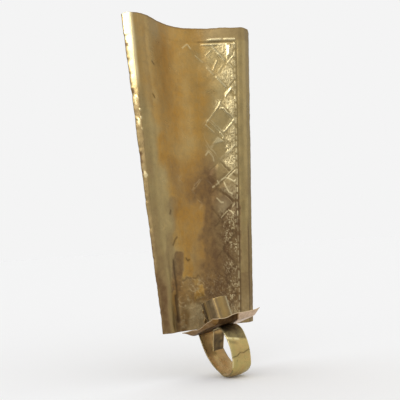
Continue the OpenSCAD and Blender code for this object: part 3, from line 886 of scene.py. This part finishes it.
def candle_cup():
    """A strip rolled round the candle: two cylinders cut open by a seam, their mouth uneven by sines; and
    its marks by the angle round it: brown bands of painted shade, a darker one at the left, and a painted
    highlight as a light line at the right."""
    gap = np.arcsin(SEAM_GAP / 2 / CUP_R)
    turn = np.linspace(SEAM_TURN + gap, SEAM_TURN + 2 * np.pi - gap, 121)[None]
    high = np.linspace(0, CUP_H, 25)[:, None]
    uneven = 0.22 * np.sin(3 * turn + 1.0) + 0.12 * np.sin(7 * turn)
    level = high + 0 * turn + (uneven - 0.2) * rise(high, 12, 12)
    bent = 0.1 * patch_noise(turn * 12, level, 5, 91)
    around = np.stack([np.cos(turn) + 0 * level, np.sin(turn) + 0 * level], -1)
    inner, outer = (np.concatenate([(r + bent)[..., None] * around, level[..., None] + TRAY_T], -1)
                    for r in (CUP_R, CUP_R + CUP_WALL))

    angle = np.degrees(turn) % 360 + 0 * level
    # painted shade: brown bands by the angle round the cup, a thin line left free for the highlight, and the
    # far left dark
    dark = most(0.82 * rise(angle, 188, 10) * fall(angle, 235, 4),
                0.75 * rise(angle, 237, 3) * fall(angle, 254, 10),
                0.25 * rise(angle, 225, 5) * fall(angle, 245, 5),
                0.35 * rise(angle, 262, 20) * (1 - 0.9 * bell(angle - 305, 9)),
                fall(angle, 186, 6))
    # painted highlight: a light line near the right edge, and a faint one near the left
    ridge = bell(angle - 305, 8) + 0.25 * bell(angle - 187, 6)
    # painted shade: a darker band left of the highlight line
    groove_and_shade = 0.65 * rise(angle, 203, 6) * fall(angle, 230, 6)
    # The rim's four sides: foot, seam, mouth, seam
    sides = (len(turn[0]) - 1, len(high) - 1) * 2
    plain = 0 * angle
    marks = {
        "ridge": sheet_mark(ridge, plain, np.repeat((0.0, 0.0, 0.8, 0.0), sides)),
        "groove_and_shade": sheet_mark(groove_and_shade, plain, np.repeat((0.0, 0.5, 0.0, 0.5), sides)),
        "warm": sheet_mark(plain + 0.35, plain + 0.8, np.repeat((0.5, 0.5, 0.0, 0.5), sides)),
        "dark": sheet_mark(dark, plain + 0.8, np.repeat((0.5, 0.9, 0.0, 0.9), sides)),
    }
    return sheet(at_seat(outer), at_seat(inner), CUP_EDGE_R), marks


# Rivets and washers


def rivet(stack, head):
    """Rivet through a stack: its end hammered over the washer as a low dome, its shank, and the given
    half profile of its head up to the tip."""
    low = -stack - WASHER_T
    turn = np.linspace(-np.pi / 2, 0.35, 8)
    tail = np.stack([TAIL_R * np.cos(turn), low - 0.05 + TAIL_H * np.sin(turn) * (turn < 0)], -1)
    return lathed(np.concatenate([[[0.0, tail[0, 1]]], tail[1:], [[SHANK_R, low]], head]))


def raised_head():
    """Half profile of a domed head: a quarter arc over a short rim."""
    arc = np.linspace(0, np.pi / 2, 9)
    dome = np.stack([HEAD_R * np.cos(arc), 0.25 + 0.75 * np.sin(arc)], -1)
    rim = [[SHANK_R, 0.0], [2.8, 0.0], [HEAD_R, 0.1]]
    return np.concatenate([rim, dome[:-1], [[0.0, 1.0]]])


def sunk_head():
    """Half profile of a head hammered flush into a coned hole."""
    return np.array([[SHANK_R, -TRAY_T], [2.45, -0.05], [2.3, 0.0], [1.2, 0.06], [0.0, 0.08]])


def washer(stack, steps=48):
    """Washer: a rectangle with cut corners, turned about the shank."""
    bore, cut = WASHER_BORE_R, WASHER_R - 0.25
    corners = np.array([[bore, 0.0], [cut, 0.0], [WASHER_R, -0.2], [WASHER_R, -0.6],
                        [cut, -WASHER_T], [bore, -WASHER_T]])
    turn = np.linspace(0, 2 * np.pi, steps, endpoint=False)[:, None]
    r, h = corners[None, :, 0], corners[None, :, 1] - stack
    return ring_of(np.stack([r * np.cos(turn), r * np.sin(turn), h + 0 * turn], -1))


def in_plate(points):
    """A rivet's points at both its places in the plate, its head towards the viewer."""
    return [at_arm(np.stack([points[:, 0], -points[:, 2], points[:, 1] + z], -1)) for z in ARM_RIVETS_Z]


def in_tray(points):
    """A rivet's points in the middle of the tray."""
    return [at_seat(points + np.array([0, 0, TRAY_T]))]


# Hanger


def hanger_strap():
    """A strip bent round the ring: two feet on the plate, and an arc over the wire between them, joined
    by bends that are quadratic curves."""
    reach = EYE_R + STRAP_T / 2
    arc = np.linspace(-EYE_ARC, EYE_ARC, 60)
    eye = np.stack([reach * np.cos(arc), reach * np.sin(arc)], -1)
    foot = np.linspace([-reach, -STRAP_H / 2], [-reach, -STRAP_FOOT_Z], 12)
    t = np.linspace(0, 1, 10)[1:-1, None]
    pull, end = (np.array([-reach, height]) for height in STRAP_BEND_Z)
    bend = (1 - t) ** 2 * eye[-1] + 2 * t * (1 - t) * pull + t ** 2 * end
    mirror = np.array([1, -1])
    line = np.concatenate([foot, (bend * mirror)[::-1], eye, bend, (foot * mirror)[::-1]])
    way = np.gradient(line, axis=0)
    way /= np.linalg.norm(way, axis=1, keepdims=True)
    side = np.stack([way[:, 1], -way[:, 0]], -1)
    across, over, depth = strip_section(7, 3)
    x = across * (STRAP_W / 2 - STRAP_EDGE_R) + over * STRAP_EDGE_R + 0 * line[:, :1]
    yz = line[:, None] + side[:, None] * (depth * STRAP_T / 2)[..., None]
    c, s = np.cos(BACK_SLOPE), np.sin(BACK_SLOPE)
    return swept(np.stack([x, yz[..., 0] * c + yz[..., 1] * s, -yz[..., 0] * s + yz[..., 1] * c], -1))


def hanging_ring():
    """Wire ring: a small circle carried round a large one, a little uneven, with a butted joint."""
    turn = np.linspace(0, 2 * np.pi, 144, endpoint=False)[:, None]
    small = np.linspace(0, 2 * np.pi, 18, endpoint=False)[None]
    joint = 1 - 0.16 * bell(np.angle(np.exp(1j * (turn - 2.2))), 0.03)
    wire = WIRE_R * joint * (1 - 0.02 * (1 + np.sin(5 * turn + 2 * small)))
    reach = RING_R + wire * np.cos(small)
    height = reach * np.sin(turn) - RING_DROP
    return ring_of(np.stack([reach * np.cos(turn), wire * np.sin(small), height], -1))


# Materials

MASKS = ("Blotch", "Mottle", "Speck", "Streak", "Scratch")
MARKS = ("Warm", "Dark", "Ridge", "Groove_and_shade", "Matte")
TINTS = ("Tan", "Orange", "Brown", "Bright", "Dirt_and_shade")


def add(tree, kind, inputs=None, **settings):
    """A shader node with its settings; a socket given as an input is linked, a value is set."""
    made = tree.nodes.new("ShaderNode" + kind)
    for key, value in settings.items():
        setattr(made, key, value)
    for key, value in (inputs or {}).items():
        if isinstance(value, bpy.types.NodeSocket):
            tree.links.new(value, made.inputs[key])
        else:
            made.inputs[key].default_value = value
    return made


def new_material(name):
    """An empty material, and its node tree."""
    material = bpy.data.materials.new(name)
    material.use_nodes = True
    material.node_tree.nodes.clear()
    return material, material.node_tree


def new_group(name, inputs, outputs):
    """An empty shader node group, its inputs' and its outputs' sockets: name, kind and value of each."""
    group = bpy.data.node_groups.new(name, "ShaderNodeTree")
    for way, sockets in (("INPUT", inputs), ("OUTPUT", outputs)):
        for label, kind, value in sockets:
            socket = group.interface.new_socket(label, in_out=way, socket_type="NodeSocket" + kind)
            if value is not None:
                socket.default_value = value
    return group, group.nodes.new("NodeGroupInput").outputs, group.nodes.new("NodeGroupOutput").inputs


def math(tree, operation, a, b, clamp=False):
    """One step of arithmetic on two values."""
    return add(tree, "Math", {0: a, 1: b}, operation=operation, use_clamp=clamp).outputs[0]


def mix(tree, factor, a, b):
    """A mix of two colours."""
    return add(tree, "Mix", {0: factor, 6: a, 7: b}, data_type="RGBA").outputs[2]


def spread(tree, value, low, high, to_low=0.0, to_high=1.0):
    """A value stretched from one range to another and held inside it."""
    return add(tree, "MapRange", {0: value, 1: low, 2: high, 3: to_low, 4: to_high}).outputs[0]


def tarnish_group():
    """Tarnish of old brass: blotches, fine specks and streaks down the piece, as masks and a height."""
    group, given, out = new_group("brass_tarnish", [("Scale", "Float", 1.0)],
                                  [(label, "Float", None) for label in (*MASKS, "Height")])
    place = add(group, "TexCoord").outputs["Object"]
    sized = add(group, "VectorMath", {0: place, "Scale": given["Scale"]}, operation="SCALE").outputs[0]

    def noise(scale, detail, rough=0.55, stretch=None):
        """Noise at the group's scale, stretched or not."""
        vector = sized
        if stretch:
            vector = add(group, "VectorMath", {0: sized, 1: stretch}, operation="MULTIPLY").outputs[0]
        inputs = {"Vector": vector, "Scale": scale, "Detail": detail, "Roughness": rough}
        return add(group, "TexNoise", inputs).outputs["Fac"]

    masks = {
        "Blotch": spread(group, noise(75.0, 5.0), 0.36, 0.66),
        "Mottle": spread(group, noise(230.0, 5.0, 0.6), 0.34, 0.66),
        "Speck": spread(group, noise(620.0, 4.0, 0.7), 0.54, 0.74),
        "Streak": spread(group, noise(1.0, 4.0, stretch=(120.0, 120.0, 16.0)), 0.4, 0.68),
        "Scratch": spread(group, noise(1.0, 2.0, stretch=(900.0, 900.0, 60.0)), 0.58, 0.74),
    }
    grain = math(group, "MULTIPLY", noise(1500.0, 3.0), 0.5)
    pits = math(group, "MULTIPLY", masks["Speck"], -0.5)
    for label, value in (*masks.items(), ("Height", math(group, "ADD", grain, pits))):
        group.links.new(value, out[label])
    return group


def wear_group():
    """Wear of old brass: orange and brown tarnish over tan metal, the brown also painted shade, bright where
    it is worn by rubbing and where highlights are painted, and dark where grime sits in its grooves and
    where shade is painted, as a colour, a roughness, a share of metal and a height."""
    group, value, out = new_group("brass_wear", [
        *((label, "Float", 0.0) for label in (*MARKS, *MASKS, "Grain")),
        *((label, "Color", None) for label in TINTS), ("Rough", "Float", 0.4), ("Dull", "Float", 0.85)], [
        ("Colour", "Color", None), *((label, "Float", None) for label in ("Roughness", "Metal", "Height"))])

    def times(a, b, clamp=False):
        """A product."""
        return math(group, "MULTIPLY", a, b, clamp)

    def between(mask, low, high):
        """A mask stretched from 0 and 1 to two values."""
        return spread(group, value[mask], 0.0, 1.0, low, high)

    warm = times(value["Warm"], between("Blotch", 0.75, 1.0))
    warm = math(group, "ADD", warm, between("Mottle", -0.1, 0.1), True)
    dark = times(value["Dark"], between("Streak", 0.86, 1.0))
    dark = math(group, "ADD", dark, between("Mottle", 0.12, -0.08), True)
    colour = mix(group, warm, value["Tan"], value["Orange"])
    # the bright tint also paints highlights and sheen; brown and the darkest groove tint also paint shade
    for factor, tint in (
            (times(value["Scratch"], 0.08), "Bright"), (dark, "Brown"),
            (times(value["Speck"], 0.25), "Brown"), (times(value["Matte"], 0.7, True), "Bright"),
            (times(value["Ridge"], 0.75, True), "Bright"), (times(value["Groove_and_shade"], 0.7, True), "Dirt_and_shade")):
        colour = mix(group, factor, colour, value[tint])
    rough = math(group, "ADD", value["Rough"], between("Blotch", -0.08, 0.1))
    rough = math(group, "SUBTRACT", rough, times(value["Ridge"], 0.2))
    rough = math(group, "ADD", rough, times(value["Matte"], 0.3))
    rough = math(group, "ADD", rough, times(dark, 0.14))
    rough = math(group, "ADD", rough, times(value["Groove_and_shade"], 0.2), True)
    metal = spread(group, dark, 0.1, 0.7, 0.94, value["Dull"])
    height = times(value["Grain"], spread(group, value["Ridge"], 0.0, 0.45, 1.0, 0.1))
    for label, result in (("Colour", colour), ("Roughness", rough), ("Metal", metal), ("Height", height)):
        group.links.new(result, out[label])
    return group


TARNISH = tarnish_group()
WEAR = wear_group()


def old_brass(name, tan, orange, brown, bright, rough=0.42, scale=1.0, bump=0.25, dull=0.85, marks=True):
    """Old brass: one setting of the tarnish and wear groups. A piece with marks says where it is warm, dark,
    ridged, grooved and rough, and through them where highlights, sheen and shade are painted; one without
    takes its blotches and streaks instead."""
    material, tree = new_material(name)
    tarnish = add(tree, "Group", {"Scale": scale}, node_tree=TARNISH).outputs
    inputs = {label: tarnish[label] for label in MASKS}
    if marks:
        for label in MARKS:
            inputs[label] = add(tree, "Attribute", attribute_name=label.lower()).outputs["Fac"]
    else:
        inputs["Warm"] = tarnish["Blotch"]
        inputs["Dark"] = math(tree, "MULTIPLY", tarnish["Streak"], 0.5)
    dirt_and_shade = [0.3 * share for share in brown]
    for label, tint in zip(TINTS, (tan, orange, brown, bright, dirt_and_shade)):
        inputs[label] = (*tint, 1.0)
    inputs.update({"Grain": tarnish["Height"], "Rough": rough, "Dull": dull})
    wear = add(tree, "Group", inputs, node_tree=WEAR).outputs
    lift = add(tree, "Bump", {"Height": wear["Height"], "Strength": bump, "Distance": 0.0003})
    shader = add(tree, "BsdfPrincipled", {
        "Base Color": wear["Colour"], "Roughness": wear["Roughness"], "Metallic": wear["Metal"],
        "Normal": lift.outputs[0], "Specular IOR Level": 0.25})
    add(tree, "OutputMaterial", {"Surface": shader.outputs[0]})
    return material


# the bright tint is whitened for the painted highlights on the flange and the chasing
PLATE_BRASS = old_brass("plate_brass", (0.45, 0.34, 0.15), (0.49, 0.267, 0.058), (0.13, 0.073, 0.03),
                        (0.9, 0.765, 0.44), rough=0.35, dull=0.55)
ARM_BRASS = old_brass("arm_brass", (0.5, 0.41, 0.155), (0.62, 0.37, 0.15), (0.1, 0.075, 0.042),
                      (0.88, 0.76, 0.42), rough=0.34, scale=1.6)
# the tray's orange slot holds the pale pinkish tint of its painted reflection
TRAY_BRASS = old_brass("tray_brass", (0.28, 0.155, 0.046), (0.8, 0.63, 0.48), (0.05, 0.023, 0.006),
                       (0.86, 0.7, 0.46), rough=0.4, scale=1.5, dull=0.94)
CUP_BRASS = old_brass("cup_brass", (0.37, 0.265, 0.105), (0.36, 0.21, 0.07), (0.14, 0.1, 0.055),
                      (0.88, 0.75, 0.42), rough=0.4, scale=1.8, bump=0.05)
RIVET_BRASS = old_brass("rivet_brass", (0.42, 0.29, 0.11), (0.36, 0.2, 0.07), (0.14, 0.09, 0.05),
                        (0.85, 0.68, 0.34), rough=0.38, scale=2.5, marks=False)
HANGER_BRASS = old_brass("hanger_brass", (0.44, 0.34, 0.14), (0.34, 0.22, 0.08), (0.16, 0.11, 0.06),
                         (0.85, 0.7, 0.36), rough=0.36, scale=2.2, marks=False)


# Pieces

shape, marks = back_plate()
put_piece("reflector_plate", shape, PLATE_BRASS, "sconce", ["back_plate"], marks)
shape, marks = scroll_arm()
put_piece("rolled_scroll", shape, ARM_BRASS, "sconce", ["scroll_arm"], marks)
shape, marks = drip_tray()
put_piece("square_drip_tray", shape, TRAY_BRASS, "sconce", ["drip_tray"], marks)
shape, marks = candle_cup()
put_piece("rolled_candle_cup", shape, CUP_BRASS, "sconce", ["candle_cup"], marks)

for name, (points, faces), placed, node in (
        ("peened_arm_rivets", rivet(ARM_STACK, raised_head()), in_plate, "arm_rivets"),
        ("arm_rivet_washers", washer(ARM_STACK), in_plate, "arm_burrs"),
        ("sunk_tray_rivet", rivet(TRAY_STACK, sunk_head()), in_tray, "tray_rivet"),
        ("tray_rivet_washer", washer(TRAY_STACK), in_tray, "tray_burr")):
    shape = joined([(at, faces) for at in placed(points)])
    put_piece(name, shape, RIVET_BRASS, "sconce", [node], sharp=40.0)

put_piece("bent_hanger_strap", hanger_strap(), HANGER_BRASS, "sconce", ["hanger_strap"])
put_piece("wire_hanging_ring", hanging_ring(), HANGER_BRASS, "ring", ["hanging_ring"])


# Stage: floor, light and camera

FLOOR_Z = cad_box[0][2] - 0.001
FLOOR_HALF = 9.0


def pale_floor():
    """A wide flat floor just under the scroll, in a plain pale finish that is dimmer in reflections."""
    mesh = bpy.data.meshes.new("floor")
    corners = [(x * FLOOR_HALF, y * FLOOR_HALF, FLOOR_Z) for x, y in ((-1, -1), (1, -1), (1, 1), (-1, 1))]
    mesh.from_pydata(corners, [], [(0, 1, 2, 3)])
    material, tree = new_material("pale_floor")
    pale = add(tree, "BsdfDiffuse", {"Color": (0.89, 0.89, 0.89, 1.0)})
    place = add(tree, "TexCoord").outputs["Object"]
    reach = add(tree, "VectorMath", {0: place}, operation="LENGTH").outputs["Value"]
    shade = mix(tree, spread(tree, reach, 0.34, 0.5), (0.85, 0.83, 0.81, 1.0), (0.33, 0.32, 0.31, 1.0))
    dim = add(tree, "BsdfDiffuse", {"Color": shade})
    mirrored = add(tree, "LightPath").outputs["Is Glossy Ray"]
    both = add(tree, "MixShader", {0: mirrored, 1: pale.outputs[0], 2: dim.outputs[0]})
    add(tree, "OutputMaterial", {"Surface": both.outputs[0]})
    mesh.materials.append(material)
    floor = bpy.data.objects.new("floor", mesh)
    bpy.context.scene.collection.objects.link(floor)


def studio_world(seen, even, low, high):
    """Near-white backdrop for the camera, even light for dull surfaces, and for glossy ones
    a sky that brightens with height."""
    world = bpy.data.worlds.new("studio")
    world.use_nodes = True
    tree = world.node_tree
    tree.nodes.clear()
    height = add(tree, "SeparateXYZ", {0: add(tree, "TexCoord").outputs["Generated"]}).outputs["Z"]
    sky = mix(tree, spread(tree, height, -0.25, 0.6), (*low, 1.0), (*high, 1.0))
    plain, mirrored, backdrop = (add(tree, "Background", {"Color": colour, "Strength": 1.0}).outputs[0]
                                 for colour in ((*even, 1.0), sky, (*seen, 1.0)))
    rays = add(tree, "LightPath").outputs
    cast = add(tree, "MixShader", {0: rays["Is Glossy Ray"], 1: plain, 2: mirrored})
    both = add(tree, "MixShader", {0: rays["Is Camera Ray"], 1: cast.outputs[0], 2: backdrop})
    add(tree, "OutputWorld", {"Surface": both.outputs[0]})
    bpy.context.scene.world = world


def soft_light(name, place, aim, size, radiance):
    """A soft box that faces a point; its power is its radiance times pi times its area."""
    light = bpy.data.lights.new(name, "AREA")
    light.shape = "RECTANGLE"
    light.size, light.size_y = size
    light.energy = radiance * np.pi * size[0] * size[1]
    box = bpy.data.objects.new(name, light)
    box.location = place
    box.rotation_euler = (Vector(aim) - Vector(place)).to_track_quat("-Z", "Y").to_euler()
    box.visible_camera = False
    box.light_linking.receiver_collection = LIT
    bpy.context.scene.collection.objects.link(box)


def studio_camera(place, forward, roll, lens):
    """A camera at a place, along a direction, turned about it by roll degrees."""
    ahead = Vector(forward).normalized()
    right = ahead.cross(Vector((0, 0, 1))).normalized()
    up = right.cross(ahead)
    turn = np.radians(roll)
    right, up = right * np.cos(turn) + up * np.sin(turn), up * np.cos(turn) - right * np.sin(turn)
    data = bpy.data.cameras.new("camera")
    data.sensor_width = 36.0
    data.lens = lens
    data.clip_start = 0.01
    camera = bpy.data.objects.new("camera", data)
    axes = Matrix((right, up, -ahead)).transposed().to_4x4()
    axes.translation = Vector(place)
    camera.matrix_world = axes
    bpy.context.scene.collection.objects.link(camera)
    bpy.context.scene.camera = camera


pale_floor()
studio_world(seen=(0.905, 0.905, 0.905), even=(1.02, 1.02, 1.02),
             low=(0.3, 0.29, 0.28), high=(0.62, 0.62, 0.62))
soft_light("key_box", (-1.12, -0.66, 0.56), aim=(0.0, 0.0, 0.0), size=(0.6, 0.8), radiance=9.0)
soft_light("small_box", (-0.465, -0.913, 0.6), aim=(0.0, 0.0, -0.2), size=(0.18, 0.25), radiance=4.0)
soft_light("top_box", (0.0, -0.3, 1.2), aim=(0.0, 0.0, -0.2), size=(1.2, 1.2), radiance=1.2)
soft_light("fill_box", (1.1, -1.0, 0.4), aim=(0.0, 0.0, -0.1), size=(1.7, 1.5), radiance=0.34)
studio_camera((-0.4, -0.5739, -0.1605), forward=(0.58358, 0.8102, 0.05492), roll=-3.48, lens=66.42)
bpy.context.scene.view_settings.view_transform = "Standard"
